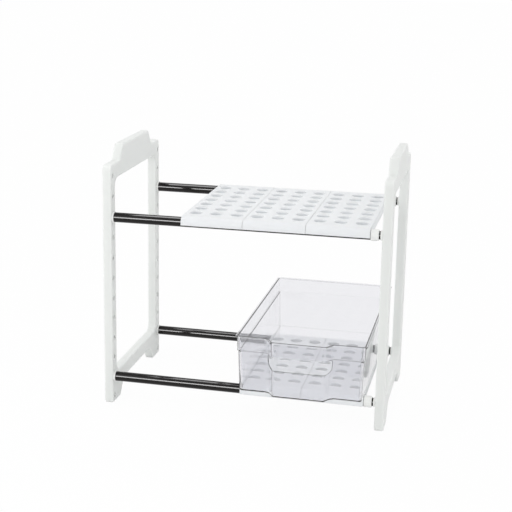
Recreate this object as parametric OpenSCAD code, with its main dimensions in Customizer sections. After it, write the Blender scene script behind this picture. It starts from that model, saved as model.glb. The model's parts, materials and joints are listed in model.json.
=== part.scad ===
// Extending two-tier rack for the cupboard under a sink, in millimetres.
// +X runs from the left end frame to the right one, +Y to the back, +Z up from the floor.
// The rack is drawn with its tubes pushed in.

/* [End frames] */
// Clear width between the end frames with the tubes pushed in
inner_w = 434; // [400:1:520]
// Thickness of an end frame
frame_t = 15; // [12:0.5:20]
// Depth of an end frame from front to back
frame_d = 268; // [240:1:320]
// Height of an end frame at its raised middle
frame_h = 428; // [420:1:460]
// Width of each upright stile
stile_w = 21.5; // [18:0.5:26]
// Height of the raised middle of the top rail over its shoulders
crown_h = 25; // [15:1:32]
// Width of the raised middle along its top
crown_w = 140; // [110:1:160]
// Run of the slope from the raised middle down to a shoulder
crown_slope = 18; // [10:1:24]
// Height of the top rail, taken at the raised middle
top_rail_h = 50; // [40:1:60]
// Height of the bottom rail
low_rail_h = 23; // [18:1:32]
// Height of the arch between the feet
arch_h = 26; // [18:1:34]
// Length of a foot along the floor
foot_l = 40; // [30:1:50]
// Run of the slope at each side of the arch
arch_slope = 18; // [10:1:24]
// Radius of the arch's upper corners
arch_r = 28; // [8:1:32]
// Radius of the outer corners
corner_r = 8; // [3:0.5:10]
// Radius of the corners of the window
window_r = 15; // [6:0.5:20]
// Radius of the small corners at the feet, arch and crown
small_r = 3; // [1:0.5:5]
// Rounding of the long edges
edge_r = 2; // [0.5:0.25:3]

/* [Peg sockets] */
// From the front or back edge of a frame in to the middle of its sockets
socket_inset = 9; // [8:0.5:12]
// Bore of a peg socket
socket_d = 8; // [6:0.25:10]
// Depth of a peg socket
socket_depth = 8; // [6:0.25:10]
// Distance from one socket to the next
socket_pitch = 34; // [30:0.5:38]
// Height of the lowest socket over the floor
socket_low = 11; // [9:0.5:14]
// Least height of the shoulders over the highest socket
socket_top = 12; // [10:0.5:16]
// Rows of free sockets below the lower tier
rows_below = 1; // [1:1:2]
// Rows of free sockets above the upper tier
rows_above = 2; // [1:1:3]

/* [Tubes] */
// Diameter of an outer tube
outer_d = 16; // [15.5:0.25:20]
// Diameter of an inner tube
inner_d = 13; // [11:0.25:13.5]
// Wall of both tubes
tube_wall = 0.8; // [0.6:0.1:1]
// Clearance around a part that slides or plugs in
fit = 0.05; // [0.02:0.01:0.09]
// Clear gap between the left plug and the guide on the inner tube
guide_gap = 3; // [1:0.5:10]
// Length of the guide on the end of an inner tube
guide_l = 10; // [6:0.5:30]

/* [Collars and caps] */
// Length of a collar
collar_l = 12.5; // [10:0.5:20]
// Wall of a collar around the outer tube
collar_wall = 1.15; // [1:0.05:2.5]
// Thickness of the lip of a collar around the inner tube
collar_lip = 2.5; // [1.5:0.25:4]
// Gap between a collar and the cap at the right end, tubes pushed in
collar_gap = 2.5; // [0.5:0.25:5]
// Thickness of a cap's flange
flange_t = 3; // [2:0.25:5]
// How far a flange stands out past its tube
flange_rim = 1.25; // [0.5:0.25:2]
// Length of a cap's plug inside its tube
plug_l = 14; // [8:0.5:20]
// Wall of a hollow plug
plug_wall = 1.6; // [1:0.1:2.5]
// Clear depth left under a peg in its socket
peg_gap = 0.5; // [0.3:0.1:1.5]
// Bevel on the edges of collars, caps and guides
turned_bevel = 0.5; // [0.2:0.05:0.8]

/* [Shelf panels] */
// Width of one panel with its share of the seam
panel_w = 100; // [90:1:105]
// Seam between two panels
seam = 0.4; // [0.3:0.05:1]
// Gap between the last panel and the collars
panel_stop = 0.5; // [0.3:0.1:2]
// Thickness of a panel's deck and lips
deck_t = 2.4; // [1.8:0.1:3]
// Gap between a panel and the tube under it
tube_gap = 0.3; // [0.2:0.05:0.6]
// How far a lip of the upper tier hangs below the middle of its tube
upper_lip = 3.5; // [3:0.25:8]
// How far a lip of the lower tier hangs below the middle of its tube
lower_lip = 5.5; // [3:0.25:8]
// How far the skirts reach below the top of the deck
skirt_h = 14; // [10:0.5:16]
// Thickness of the skirts
skirt_t = 2; // [1.5:0.1:3]
// Thickness of the ribs under the deck
rib_t = 1.6; // [1:0.1:2.5]
// How far the ribs reach below the top of the deck
rib_h = 8; // [5:0.5:10]
// Diameter of a drain hole
hole_d = 21; // [16:0.5:25]
// Distance from one drain hole to the next
hole_pitch = 33.3; // [30:0.1:35]
// Columns of drain holes in a panel
hole_cols = 3; // [2:1:3]
// Rows of drain holes in a panel
hole_rows = 7; // [5:1:7]

/* [Bin] */
// Width of the bin over its rim
bin_w = 209; // [180:1:212]
// Length of the bin over its rim, without the bulge in front
bin_l = 351; // [300:0.5:360]
// Height of the bin
bin_h = 92; // [75:1:110]
// How far the bulge stands out in front
bulge_d = 16; // [8:0.5:18]
// Width of the face of the bulge at the rim
bulge_w = 88; // [70:1:110]
// Run of each side of the bulge
bulge_slope = 10; // [6:0.5:14]
// Width of the rim's flange
rim_w = 2.5; // [2:0.25:4]
// Thickness of the rim's flange
rim_t = 2; // [1.5:0.1:3]
// How far the shoulder steps out on the way up
step_w = 1.4; // [1:0.1:3]
// Height of the shoulder over the floor of the bin
step_z = 66; // [55:1:70]
// Height over which the shoulder steps out
step_h = 2; // [1:0.25:4]
// How far the walls lean outward below the shoulder
lean = 2; // [1:0.1:5]
// How far the walls lean outward above the shoulder
lean_top = 0.8; // [0.2:0.1:2]
// Thickness of the walls and floor
bin_wall = 2; // [1.6:0.1:3]
// Radius of the upright corners of the rim
bin_r = 8; // [6:0.5:14]
// Radius of the upright corners of the walls, where the rim's is less
wall_r = 4.5; // [3:0.5:6]
// Radius of the upright corners of the bulge
bulge_r = 6; // [5:0.5:8]
// Radius along the bottom edge
bottom_r = 2; // [2:0.5:5]
// Length of the finger slot
slot_w = 102; // [80:1:104]
// Height of the finger slot
slot_h = 22; // [18:0.5:26]
// Radius of the lower corners of the finger slot
slot_r = 12; // [6:0.5:14]
// Radius of the upper corners of the finger slot
slot_top_r = 2; // [1:0.5:4]
// Bevel on the edges of the rim
rim_bevel = 0.5; // [0.2:0.05:0.8]
// Gap between the bin and the shelf it stands on
bin_gap = 0.3; // [0.2:0.05:0.6]
// How far the bin stands to the right of the middle of its two panels
bin_right = 2.5; // [0:0.25:4]

/* [Hidden] */

$fn = 48;
eps = 0.01;
// How far a cutting shape reaches past the face that it cuts
past = 1;
// Smallest radius that a corner keeps when its outline is moved in
least_r = 0.2;

shoulder_z = frame_h - crown_h;
window_low = arch_h + low_rail_h;
window_top = frame_h - top_rail_h;

// Distance of the sockets and tubes from the middle plane of the rack
tube_y = frame_d / 2 - socket_inset;
socket_rows = floor((shoulder_z - socket_top - socket_low) / socket_pitch) + 1;
lower_row = rows_below;
upper_row = socket_rows - 1 - rows_above;
function socket_z(row) = socket_low + row * socket_pitch;
upper_z = socket_z(upper_row);
lower_z = socket_z(lower_row);

// Stations along X
left_face = -inner_w / 2;
right_face = inner_w / 2;
outer_start = left_face + flange_t;
collar_end = right_face - flange_t - collar_gap;
collar_start = collar_end - collar_l;
outer_end = collar_end - collar_lip;
guide_start = outer_start + plug_l + guide_gap;
inner_start = guide_start + guide_l;
inner_end = right_face - flange_t;
panels_end = collar_start - panel_stop;

outer_bore = outer_d - 2 * tube_wall;
inner_bore = inner_d - 2 * tube_wall;

// Heights of a panel over the middle of its tubes
deck_low = outer_d / 2 + tube_gap;
deck_top = deck_low + deck_t;
bin_z = lower_z + deck_top + bin_gap;

// Points of an outline, rounded
function unit(v) = v / norm(v);
function flat2(p) = [p[0], p[1]];
function around(list, i) = list[(i + len(list)) % len(list)];

// One corner of an outline [x, y, radius] as an arc of steps + 1 points
function corner_arc(a, b, c, steps) =
    let (u = unit(flat2(a) - flat2(b)),
         v = unit(flat2(c) - flat2(b)),
         half = acos(u * v) / 2,
         centre = flat2(b) + unit(u + v) * b[2] / sin(half),
         from = flat2(b) + u * b[2] / tan(half) - centre,
         to = flat2(b) + v * b[2] / tan(half) - centre,
         start = atan2(from[1], from[0]),
         swing = (atan2(to[1], to[0]) - start + 540) % 360 - 180)
    [for (i = [0 : steps]) centre + b[2] * [cos(start + swing * i / steps), sin(start + swing * i / steps)]];

function rounded(corners, steps = 6) =
    [for (i = [0 : len(corners) - 1])
        each corner_arc(around(corners, i - 1), corners[i], around(corners, i + 1), steps)];

// The same corners moved in by a distance, on an outline that runs anticlockwise;
// an outer corner's radius shrinks with the distance and an inner corner's grows
function side_normal(a, b) = let (d = unit(flat2(b) - flat2(a))) [-d[1], d[0]];
function moved_in(corners, gap, least = least_r) =
    [for (i = [0 : len(corners) - 1])
        let (a = around(corners, i - 1),
             b = corners[i],
             c = around(corners, i + 1),
             n = side_normal(a, b),
             m = side_normal(b, c),
             at = flat2(b) + gap * (n + m) / (1 + n * m))
        [at[0], at[1], max(least, doubled_area(a, b, c) > 0 ? b[2] - gap : b[2] + gap)]];

// Triangles that fill an outline that runs anticlockwise, cut off one ear after another
function doubled_area(a, b, c) = (b[0] - a[0]) * (c[1] - a[1]) - (b[1] - a[1]) * (c[0] - a[0]);
function covers(a, b, c, p) =
    doubled_area(a, b, p) >= 0 && doubled_area(b, c, p) >= 0 && doubled_area(c, a, p) >= 0;
function is_ear(outline, loop, i) =
    let (a = around(loop, i - 1), b = loop[i], c = around(loop, i + 1))
    doubled_area(outline[a], outline[b], outline[c]) > 0 &&
    len([for (k = loop)
        if (k != a && k != b && k != c && covers(outline[a], outline[b], outline[c], outline[k])) k]) == 0;
function find_ear(outline, loop, i = 0) = is_ear(outline, loop, i) ? i : find_ear(outline, loop, i + 1);
function ears(outline, loop, cut = []) =
    len(loop) == 3 ? concat(cut, [loop]) :
    let (i = find_ear(outline, loop))
    ears(outline, [for (k = [0 : len(loop) - 1]) if (k != i) loop[k]],
        concat(cut, [[around(loop, i - 1), loop[i], around(loop, i + 1)]]));
function filled(outline) = ears(outline, [for (i = [0 : len(outline) - 1]) i]);

// A closed skin over rings of equal numbers of points, each ring [outline, height]
module skin(rings) {
    count = len(rings[0][0]);
    last = len(rings) - 1;
    polyhedron(
        points = [for (ring = rings) each [for (p = ring[0]) [p[0], p[1], ring[1]]]],
        faces = concat(
            filled(rings[0][0]),
            [for (k = [0 : last - 1], i = [0 : count - 1])
                let (j = (i + 1) % count, low = k * count, high = low + count)
                [low + i, high + i, high + j, low + j]],
            [for (t = filled(rings[last][0])) [for (k = [2, 1, 0]) last * count + t[k]]]));
}

// Rings of a plate whose long edges are rounded: inset and height of each ring
function rounded_edge(r, t) = concat(
    [for (a = [0 : 45 : 90]) [r * (1 - sin(a)), r * (1 - cos(a))]],
    [for (a = [90 : -45 : 0]) [r * (1 - sin(a)), t - r * (1 - cos(a))]]);

// Turns a plate drawn in X and Y so that it stands in the plane of Y and Z
module upright() rotate([90, 0, 90]) children();

// A revolved piece whose profile has its radius in X and its length in Y, laid along +X
module turned(profile) rotate([90, 0, 90]) rotate_extrude() polygon(profile);

// Outer outline of an end frame, from the front foot anticlockwise
frame_corners = let (
        d = frame_d / 2,
        foot = d - foot_l,
        crown = crown_w / 2)
    [[-d, 0, small_r], [-foot, 0, small_r], [-foot + arch_slope, arch_h, arch_r],
     [foot - arch_slope, arch_h, arch_r], [foot, 0, small_r], [d, 0, small_r],
     [d, shoulder_z, corner_r], [crown + crown_slope, shoulder_z, small_r], [crown, frame_h, small_r],
     [-crown, frame_h, small_r], [-crown - crown_slope, shoulder_z, small_r], [-d, shoulder_z, corner_r]];

window_corners = let (w = frame_d / 2 - stile_w)
    [[-w, window_low, window_r], [w, window_low, window_r],
     [w, window_top, window_r], [-w, window_top, window_r]];

// An end frame in the plane of Y and Z, from x = 0 to its thickness, with its sockets opening at x = 0
module end_frame() {
    flare = edge_r + past;
    upright() difference() {
        skin([for (s = rounded_edge(edge_r, frame_t)) [rounded(moved_in(frame_corners, s[0])), s[1]]]);
        skin(concat(
            [[rounded(moved_in(window_corners, -flare)), -past]],
            [for (s = rounded_edge(edge_r, frame_t)) [rounded(moved_in(window_corners, -s[0])), s[1]]],
            [[rounded(moved_in(window_corners, -flare)), frame_t + past]]));
        for (side = [-1, 1], row = [0 : socket_rows - 1])
            translate([side * tube_y, socket_z(row), -eps])
                cylinder(d = socket_d, h = socket_depth + eps);
    }
}

module left_end_frame()
    color("white") translate([left_face, 0, 0]) mirror([1, 0, 0]) end_frame();

module right_end_frame()
    color("white") translate([right_face, 0, 0]) end_frame();

// A plain tube from one station to another
module tube(d, from, to)
    color("black") translate([from, 0, 0])
        turned([[d / 2 - tube_wall, 0], [d / 2, 0], [d / 2, to - from], [d / 2 - tube_wall, to - from]]);

module outer_tube() tube(outer_d, outer_start, outer_end);
module inner_tube() tube(inner_d, inner_start, inner_end);

// Collar that ends an outer tube and guides the inner one
module collar() {
    r = outer_d / 2 + fit + collar_wall;
    pocket = outer_d / 2 + fit;
    bore = inner_d / 2 + fit;
    bevel = turned_bevel;
    color("white") translate([collar_start, 0, 0])
        turned([[pocket, 0], [r - bevel, 0], [r, bevel], [r, collar_l - collar_wall],
            [r - collar_wall, collar_l], [bore, collar_l], [bore, collar_l - collar_lip],
            [pocket, collar_l - collar_lip]]);
}

// Cap with a peg for a socket and a hollow plug for the tube; it faces +X with its flange at x = 0
module cap(tube_d) {
    peg = socket_d / 2 - fit;
    rim = tube_d / 2 + flange_rim;
    plug = tube_d / 2 - tube_wall - fit;
    peg_l = socket_depth - peg_gap;
    bevel = turned_bevel;
    turned([[0, -peg_l], [peg - bevel, -peg_l], [peg, -peg_l + bevel], [peg, 0],
        [rim - bevel, 0], [rim, bevel], [rim, flange_t - bevel], [rim - bevel, flange_t],
        [plug, flange_t], [plug, flange_t + plug_l - bevel], [plug - bevel, flange_t + plug_l],
        [plug - plug_wall, flange_t + plug_l], [plug - plug_wall, flange_t], [0, flange_t]]);
}

module left_cap()
    color("white") translate([left_face, 0, 0]) cap(outer_d);

module right_cap()
    color("white") translate([right_face, 0, 0]) mirror([1, 0, 0]) cap(inner_d);

// Guide that plugs the hidden end of an inner tube and slides in the outer one
module guide() {
    head = outer_bore / 2 - fit;
    plug = inner_bore / 2 - fit;
    bevel = turned_bevel;
    color("gainsboro") translate([guide_start, 0, 0])
        turned([[plug - plug_wall, 0], [head - bevel, 0], [head, bevel], [head, guide_l - bevel],
            [head - bevel, guide_l], [plug, guide_l], [plug, guide_l + plug_l],
            [plug - plug_wall, guide_l + plug_l]]);
}

// Places a piece drawn on the X axis at one of the four tubes
module at_tube(upper, rear)
    translate([0, rear ? tube_y : -tube_y, upper ? upper_z : lower_z]) children();

// Section of a panel's hook over the front tube, with the tube's middle at the origin and its lip hanging down
module hook_section(lip) {
    difference() {
        circle(r = deck_top);
        circle(r = deck_low);
        translate([0, -2 * deck_top]) square(4 * deck_top);
        translate([-2 * deck_top, -4 * deck_top]) square(4 * deck_top);
    }
    translate([-deck_top, -lip]) square([deck_t, lip + eps]);
    translate([deck_low, deck_top - skirt_h]) square([skirt_t, skirt_h]);
}

// A shelf panel with its left edge at x = 0 and its height from the middle of the tubes
module panel(lip) {
    w = panel_w - seam;
    span = tube_y - deck_low;
    color("white") difference() {
        union() {
            translate([0, -tube_y, deck_low]) cube([w, 2 * tube_y, deck_t]);
            for (side = [0, 1]) mirror([0, side, 0])
                translate([0, -tube_y, 0]) upright() linear_extrude(w) hook_section(lip);
            for (x = [0, w - skirt_t])
                translate([x, -span - eps, deck_top - skirt_h]) cube([skirt_t, 2 * span, skirt_h - eps]);
            for (i = [1 : hole_cols - 1])
                translate([w / 2 + (i - hole_cols / 2) * hole_pitch - rib_t / 2, -span, deck_top - rib_h])
                    cube([rib_t, 2 * span, rib_h - eps]);
            for (i = [1 : hole_rows - 1])
                translate([eps, (i - hole_rows / 2) * hole_pitch - rib_t / 2, deck_top - rib_h])
                    cube([w - 2 * eps, rib_t, rib_h - eps]);
        }
        for (i = [0 : hole_cols - 1], j = [0 : hole_rows - 1])
            translate([w / 2 + (i - (hole_cols - 1) / 2) * hole_pitch,
                       (j - (hole_rows - 1) / 2) * hole_pitch, deck_low - eps])
                cylinder(d = hole_d, h = deck_t + 2 * eps);
    }
}

// A panel in its place on one of the tiers, counted from 0 at the collars
module place_panel(upper, place)
    translate([panels_end - (place + 1) * panel_w + seam, 0, upper ? upper_z : lower_z])
        panel(upper ? upper_lip : lower_lip);

// Corners of the bin's rim, from the back left anticlockwise, with the bin's own middle at x = 0
bin_front = -(bin_l - bulge_d) / 2;
bin_corners = let (
        w = bin_w / 2,
        face = bulge_w / 2,
        foot = face + bulge_slope,
        back = bin_front + bin_l)
    [[-w, back, bin_r], [-w, bin_front, bin_r], [-foot, bin_front, bulge_r],
     [-face, bin_front - bulge_d, bulge_r], [face, bin_front - bulge_d, bulge_r],
     [foot, bin_front, bulge_r], [w, bin_front, bin_r], [w, back, bin_r]];

// Insets of the outer wall from the rim
band_in = rim_w;
step_in = band_in + lean_top;
body_in = step_in + step_w;
base_in = body_in + lean;
hollow_r = bottom_r - bin_wall / 2;

// Inset and height of each ring of the bin: up the outside, over the rim and down the inside
bin_rings = concat(
    [for (a = [0 : 22.5 : 90]) [base_in + bottom_r * (1 - sin(a)), bottom_r * (1 - cos(a))]],
    [[body_in, step_z], [step_in, step_z + step_h], [band_in, bin_h - rim_t],
     [rim_bevel, bin_h - rim_t], [0, bin_h - rim_t + rim_bevel],
     [0, bin_h - rim_bevel], [rim_bevel, bin_h],
     [band_in + bin_wall - rim_bevel, bin_h], [band_in + bin_wall, bin_h - rim_bevel],
     [step_in + bin_wall, step_z + step_h], [body_in + bin_wall, step_z]],
    [for (a = [90 : -30 : 0])
        [base_in + bin_wall + hollow_r * (1 - sin(a)), bin_wall + hollow_r * (1 - cos(a))]]);

// Outline of the finger slot in X and Z, with its middle at x = 0 and its top edge at y = 0
slot_corners = [[-slot_w / 2, -slot_h, slot_r], [slot_w / 2, -slot_h, slot_r],
    [slot_w / 2, 0, slot_top_r], [-slot_w / 2, 0, slot_top_r]];

module bin() {
    x = panels_end - panel_w + bin_right;
    color("lightsteelblue", 0.5) translate([x, 0, bin_z]) difference() {
        skin([for (s = bin_rings) [rounded(moved_in(bin_corners, s[0], wall_r)), s[1]]]);
        translate([0, bin_front + body_in, step_z]) rotate([90, 0, 0])
            linear_extrude(bulge_d + body_in) polygon(rounded(slot_corners));
    }
}

left_end_frame();
right_end_frame();
at_tube(true, false) outer_tube();  // outer_tube_upper_front
at_tube(true, true) outer_tube();  // outer_tube_upper_rear
at_tube(false, false) outer_tube();  // outer_tube_lower_front
at_tube(false, true) outer_tube();  // outer_tube_lower_rear
at_tube(true, false) inner_tube();  // inner_tube_upper_front
at_tube(true, true) inner_tube();  // inner_tube_upper_rear
at_tube(false, false) inner_tube();  // inner_tube_lower_front
at_tube(false, true) inner_tube();  // inner_tube_lower_rear
at_tube(true, false) collar();  // collar_upper_front
at_tube(true, true) collar();  // collar_upper_rear
at_tube(false, false) collar();  // collar_lower_front
at_tube(false, true) collar();  // collar_lower_rear
at_tube(true, false) left_cap();  // left_cap_upper_front
at_tube(true, true) left_cap();  // left_cap_upper_rear
at_tube(false, false) left_cap();  // left_cap_lower_front
at_tube(false, true) left_cap();  // left_cap_lower_rear
at_tube(true, false) right_cap();  // right_cap_upper_front
at_tube(true, true) right_cap();  // right_cap_upper_rear
at_tube(false, false) right_cap();  // right_cap_lower_front
at_tube(false, true) right_cap();  // right_cap_lower_rear
at_tube(true, false) guide();  // guide_upper_front
at_tube(true, true) guide();  // guide_upper_rear
at_tube(false, false) guide();  // guide_lower_front
at_tube(false, true) guide();  // guide_lower_rear
place_panel(true, 2);  // upper_panel_left
place_panel(true, 1);  // upper_panel_middle
place_panel(true, 0);  // upper_panel_right
place_panel(false, 1);  // lower_panel_left
place_panel(false, 0);  // lower_panel_right
bin();
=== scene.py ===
"""Extending two-tier rack for the cupboard under a sink, in a white studio. Lengths are in metres."""
import json
import math

import bpy
from mathutils import Matrix, Vector

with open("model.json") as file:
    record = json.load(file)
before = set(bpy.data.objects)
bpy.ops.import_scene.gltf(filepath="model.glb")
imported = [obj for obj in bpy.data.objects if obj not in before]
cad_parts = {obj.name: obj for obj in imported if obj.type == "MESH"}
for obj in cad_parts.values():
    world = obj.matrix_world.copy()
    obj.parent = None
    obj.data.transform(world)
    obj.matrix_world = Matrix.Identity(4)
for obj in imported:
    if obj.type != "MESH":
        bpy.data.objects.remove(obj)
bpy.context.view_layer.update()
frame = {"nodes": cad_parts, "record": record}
NODES = frame["nodes"]

# Values of the finishes
PLASTIC_INDEX = 1.49  # refractive index of the moulded plastics
POWDER_COAT_INDEX = 1.33  # refractive index of the tubes' coat
CLOUD_SHADE = 0.975  # brightness of moulded white in its cloudiest spots
CLOUD_GLOSS = 0.10  # how far its clouds sway the roughness
GRAIN_GLOSS = 0.06  # how far its grain sways the roughness
WAVE_HEIGHT = 6.0  # height of its slow waves, where a full grain has 1
MOULDED_RELIEF = 0.00004  # height of a full grain
PEEL_RELIEF = 0.00001  # height of the powder coat's orange peel
FLOW_RELIEF = 0.00015  # height of the clear plastic's flow waves

# Values of the floor and the world
FLOOR_HALF = 12.0  # half the floor's width
FLOOR_WHITE = 0.96  # plain white's share of the floor as the background
LIGHT_BELOW = 0.94  # strength of the world's light from straight below
LIGHT_ABOVE = 1.18  # strength of the world's light from straight above

# Values of the camera
CAMERA_PLACE = (0.40465, -1.94480, 0.77177)
CAMERA_TURN = 0.2533  # radians to the left of straight on
CAMERA_TILT = 0.2474  # radians downwards
CAMERA_ROLL = 0.0077  # radians by which its right side stands up
PICTURE_PIXELS = 512  # width of the picture in which the focal length is measured
FOCAL_PIXELS = 1220.87
FILM_WIDTH = 36.0  # millimetres
SHIFT_SIDEWAYS = 0.1029  # widths of the picture
SHIFT_UP = -0.0401  # widths of the picture


# Shader maths


class Sock:
    """A node's output, or a plain number, with the operators that the finishes use."""

    def __init__(self, finish, out):
        self.finish = finish
        self.out = out

    def maths(self, operation, *others):
        """Math node of an operation on this value and the others."""
        values = dict(enumerate([self, *others]))
        return self.finish.add("ShaderNodeMath", {"operation": operation}, values)

    def __add__(self, other):
        return self.maths("ADD", other)

    def __mul__(self, other):
        return self.maths("MULTIPLY", other)

    def __sub__(self, other):
        return self.maths("SUBTRACT", other)

    def __rsub__(self, other):
        return Sock(self.finish, other).maths("SUBTRACT", self)

    __radd__ = __add__
    __rmul__ = __mul__

    def ramp(self, low, high, to_low=0.0, to_high=1.0):
        """Straight line from (low, to_low) to (high, to_high), held level outside."""
        sockets = {"Value": self, "From Min": low, "From Max": high, "To Min": to_low, "To Max": to_high}
        return self.finish.add("ShaderNodeMapRange", {"clamp": True}, sockets)


class Finish:
    """A material, or the world, whose nodes are added by type, settings and sockets."""

    def __init__(self, name, world=None):
        self.material = world or bpy.data.materials.new(name)
        self.material.use_nodes = True
        self.tree = self.material.node_tree
        self.tree.nodes.clear()
        kind = "ShaderNodeOutputWorld" if world else "ShaderNodeOutputMaterial"
        self.output = self.tree.nodes.new(kind)

    def add(self, kind, settings=None, sockets=None, result=0):
        """One output of a new node that has these settings, and these values or links on its sockets."""
        node = self.tree.nodes.new(kind)
        for key, value in (settings or {}).items():
            setattr(node, key, value)
        for key, value in (sockets or {}).items():
            if isinstance(value, Sock):
                value = value.out
            if isinstance(value, bpy.types.NodeSocket):
                self.tree.links.new(value, node.inputs[key])
            else:
                node.inputs[key].default_value = value
        return Sock(self, node.outputs[result])

    def place(self, scale=(1, 1, 1)):
        """Object coordinates in metres, stretched by a scale along each axis."""
        coords = self.add("ShaderNodeTexCoord", result="Object")
        return self.add("ShaderNodeMapping", sockets={"Vector": coords, "Scale": scale})

    def noise(self, scale, detail=2.0, rough=0.5, where=None):
        """Cloudy noise between 0 and 1, with about as many clouds to the metre as its scale says."""
        sockets = {"Vector": where or self.place(), "Scale": scale, "Detail": detail, "Roughness": rough}
        return self.add("ShaderNodeTexNoise", sockets=sockets)

    def mix(self, factor, first, second):
        """Colour that runs from first to second as factor runs from 0 to 1."""
        return self.add("ShaderNodeMix", {"data_type": "RGBA"}, {0: factor, 6: first, 7: second}, result=2)

    def background_rays(self):
        """1 for rays that see the background: straight from the camera, in gloss or through clear walls."""
        camera_ray = self.add("ShaderNodeLightPath", result="Is Camera Ray")
        gloss_ray = self.add("ShaderNodeLightPath", result="Is Glossy Ray")
        clear_ray = self.add("ShaderNodeLightPath", result="Is Transmission Ray")
        return camera_ray.maths("MAXIMUM", gloss_ray.maths("MAXIMUM", clear_ray))

    def bump(self, height, distance, edge=0.0):
        """Relief that stands distance high where height is 1. With a radius for edge, edges look rounded."""
        sockets = {"Height": height, "Distance": distance}
        if edge:
            sockets["Normal"] = self.add("ShaderNodeBevel", {"samples": 4}, {"Radius": edge})
        return self.add("ShaderNodeBump", sockets=sockets)

    def surface(self, **sockets):
        """Principled surface; a keyword's underscores stand for the spaces of a socket's name."""
        named = {key.replace("_", " "): value for key, value in sockets.items()}
        return self.show(self.add("ShaderNodeBsdfPrincipled", sockets=named))

    def show(self, shader):
        """The material, or the world, with a shader as its surface."""
        self.tree.links.new(shader.out, self.output.inputs["Surface"])
        return self.material


def linear(red, green, blue):
    """Linear colour of an sRGB colour given in steps of 0 to 255. The sRGB curve is straight for the darkest
    values and a power for the others."""
    shares = [step / 255 for step in (red, green, blue)]
    colour = [share / 12.92 if share < 0.04045 else ((share + 0.055) / 1.055) ** 2.4 for share in shares]
    return colour + [1.0]


# Finishes


def moulded_white(name, colour, rough, grain, edge, depth):
    """Moulded polypropylene: faint clouds in colour and gloss, a fine grain, slow waves of the mould's
    surface, edges rounded to a radius, and light that spreads to a depth under the surface."""
    finish = Finish(name)
    cloud = finish.noise(scale=14.0, detail=3.0)
    fine = finish.noise(scale=2600.0, detail=2.0, rough=0.6)
    slow = finish.noise(scale=22.0, detail=1.0)
    cloudy = [share * CLOUD_SHADE for share in colour[:3]] + [1.0]
    return finish.surface(
        Base_Color=finish.mix(cloud.ramp(0.25, 0.75), cloudy, colour),
        Roughness=rough + CLOUD_GLOSS * (cloud - 0.5) + GRAIN_GLOSS * (fine - 0.5),
        Normal=finish.bump(grain * fine + WAVE_HEIGHT * slow, MOULDED_RELIEF, edge),
        IOR=PLASTIC_INDEX,
        Specular_IOR_Level=0.2,
        Subsurface_Weight=0.8,
        Subsurface_Radius=(1.0, 1.0, 1.0),
        Subsurface_Scale=depth,
    )


def powder_black(name):
    """Glossy black powder coat over drawn steel, with the slow orange-peel waves of the cured film."""
    finish = Finish(name)
    peel = finish.noise(scale=300.0, detail=1.0, rough=0.4, where=finish.place((0.25, 1, 1)))
    film = finish.noise(scale=35.0, detail=1.0)
    return finish.surface(
        Base_Color=finish.mix(film.ramp(0.3, 0.7), linear(11, 8, 8), linear(17, 13, 12)),
        Roughness=peel.ramp(0.3, 0.7, to_low=0.05, to_high=0.08),
        Normal=finish.bump(peel, PEEL_RELIEF),
        IOR=POWDER_COAT_INDEX,
    )


def clear_plastic(name):
    """Clear moulded styrene, a little cool, with the faint flow waves of the moulding."""
    finish = Finish(name)
    flow = finish.noise(scale=30.0, detail=2.0, where=finish.place((1, 1, 0.4)))
    return finish.surface(
        Base_Color=linear(240, 240, 243),
        Roughness=flow.ramp(0.3, 0.7, to_low=0.02, to_high=0.05),
        Normal=finish.bump(flow, FLOW_RELIEF),
        IOR=PLASTIC_INDEX,
        Transmission_Weight=1.0,
    )


FINISHES = {
    "frame_white": moulded_white(
        "frame white", linear(236, 238, 236), rough=0.42, grain=1.0, edge=0.0015, depth=0.005
    ),
    "panel_white": moulded_white(
        "panel white", linear(240, 242, 244), rough=0.5, grain=0.8, edge=0.0015, depth=0.0015
    ),
    "cap_white": moulded_white(
        "cap white", linear(244, 245, 243), rough=0.26, grain=0.4, edge=0.0005, depth=0.0005
    ),
    "guide_plastic": moulded_white(
        "guide plastic", linear(205, 205, 205), rough=0.5, grain=1.0, edge=0.0005, depth=0.0005
    ),
    "tube_black": powder_black("tube black"),
    "bin_clear": clear_plastic("bin clear"),
}

for part in frame["record"]["subparts"]:
    NODES[part["node"]].data.materials.clear()
    NODES[part["node"]].data.materials.append(FINISHES[part["material_slot"]])

# Light passes through the clear bin to the shelf and floor under it
NODES["bin"].visible_shadow = False
NODES["bin"].visible_diffuse = False


# Studio


def studio_floor():
    """Pale floor that takes the rack's shadow. Straight to the camera, in gloss and through clear walls it
    is nearly white of itself, with a small share left for the shadow."""
    finish = Finish("studio floor")
    lit = finish.add("ShaderNodeBsdfDiffuse", sockets={"Color": (0.9, 0.9, 0.9, 1)})
    white = finish.add("ShaderNodeEmission", sockets={"Color": (1, 1, 1, 1), "Strength": 1.0})
    share = finish.background_rays() * FLOOR_WHITE
    material = finish.show(finish.add("ShaderNodeMixShader", sockets={0: share, 1: lit, 2: white}))
    corners = [(x * FLOOR_HALF, y * FLOOR_HALF, 0) for x, y in ((-1, -1), (1, -1), (1, 1), (-1, 1))]
    mesh = bpy.data.meshes.new("studio floor")
    mesh.from_pydata(corners, [], [(0, 1, 2, 3)])
    mesh.materials.append(material)
    floor = bpy.data.objects.new("studio_floor", mesh)
    bpy.context.scene.collection.objects.link(floor)


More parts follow.
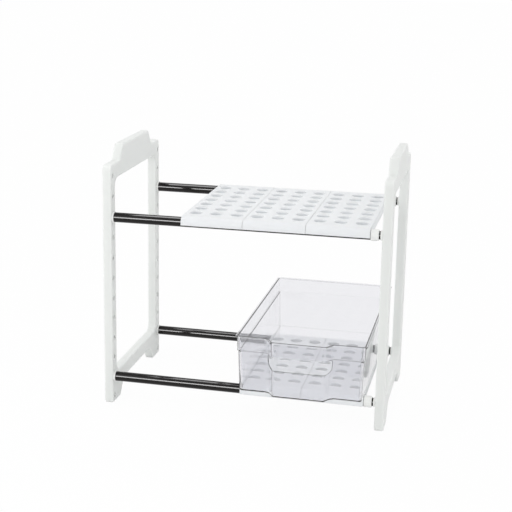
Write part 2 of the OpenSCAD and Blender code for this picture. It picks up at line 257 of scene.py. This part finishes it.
def studio_world():
    """Soft light on the rack from all round, a little stronger from above. Camera, gloss and clear walls see
    plain white."""
    world = bpy.data.worlds.new("studio")
    bpy.context.scene.world = world
    finish = Finish("studio", world)
    way = finish.add("ShaderNodeTexCoord", result="Generated")
    up = finish.add("ShaderNodeSeparateXYZ", sockets={"Vector": way}, result="Z")
    strength = up.ramp(-1.0, 1.0, to_low=LIGHT_BELOW, to_high=LIGHT_ABOVE)
    soft = finish.add("ShaderNodeBackground", sockets={"Color": (0.8, 0.8, 0.8, 1), "Strength": strength})
    white = finish.add("ShaderNodeBackground", sockets={"Color": (1, 1, 1, 1), "Strength": 1.0})
    share = finish.background_rays()
    finish.show(finish.add("ShaderNodeMixShader", sockets={0: share, 1: soft, 2: white}))


def lamp(name, place, facing, width, height, watts, shines_on=None):
    """Oblong area lamp that faces a point, its width level. One that shines on given objects lights no
    others, and only their gloss."""
    light = bpy.data.lights.new(name, "AREA")
    light.shape = "RECTANGLE"
    light.size = width
    light.size_y = height
    light.energy = watts
    holder = bpy.data.objects.new(name, light)
    holder.location = place
    holder.rotation_euler = (Vector(facing) - Vector(place)).to_track_quat("-Z", "Y").to_euler()
    if shines_on:
        holder.visible_diffuse = False
        chosen = bpy.data.collections.new(name)
        for piece in shines_on:
            chosen.objects.link(piece)
        holder.light_linking.receiver_collection = chosen
    bpy.context.scene.collection.objects.link(holder)


def camera():
    """Camera at its place, turned to the left, then tilted down, then rolled about its own line of sight."""
    level = Vector((math.cos(CAMERA_TURN), math.sin(CAMERA_TURN), 0))
    ahead = Vector((-math.sin(CAMERA_TURN), math.cos(CAMERA_TURN), 0))
    forward = math.cos(CAMERA_TILT) * ahead - math.sin(CAMERA_TILT) * Vector((0, 0, 1))
    right = math.cos(CAMERA_ROLL) * level + math.sin(CAMERA_ROLL) * level.cross(forward)
    axes = Matrix((right, right.cross(forward), -forward)).transposed().to_4x4()
    film = bpy.data.cameras.new("camera")
    film.sensor_width = FILM_WIDTH
    film.lens = FOCAL_PIXELS / PICTURE_PIXELS * FILM_WIDTH
    film.shift_x = SHIFT_SIDEWAYS
    film.shift_y = SHIFT_UP
    holder = bpy.data.objects.new("camera", film)
    holder.matrix_world = Matrix.Translation(CAMERA_PLACE) @ axes
    bpy.context.scene.collection.objects.link(holder)
    bpy.context.scene.camera = holder


studio_floor()
studio_world()
lamp("left lamp", place=(-0.75, -0.75, 0.75), facing=(-0.1, 0, 0.25), width=0.6, height=0.6, watts=1.7)
lamp("front lamp", place=(0.9, -2.0, 0.7), facing=(0, 0, 0.2), width=1.2, height=1.2, watts=1)

# These two draw the bright lines along the tubes
tubes = [node for name, node in NODES.items() if "tube" in name]
lamp(
    "front gloss lamp", place=(-0.5, -2.4, 0.72), facing=(-0.5, 0, 0.72),
    width=1.6, height=0.9, watts=120, shines_on=tubes,
)
lamp(
    "top gloss lamp", place=(-0.08, 0.15, 1.9), facing=(-0.08, 0.15, 0),
    width=1.2, height=1.0, watts=45, shines_on=tubes,
)
camera()
bpy.context.scene.view_settings.view_transform = "Standard"
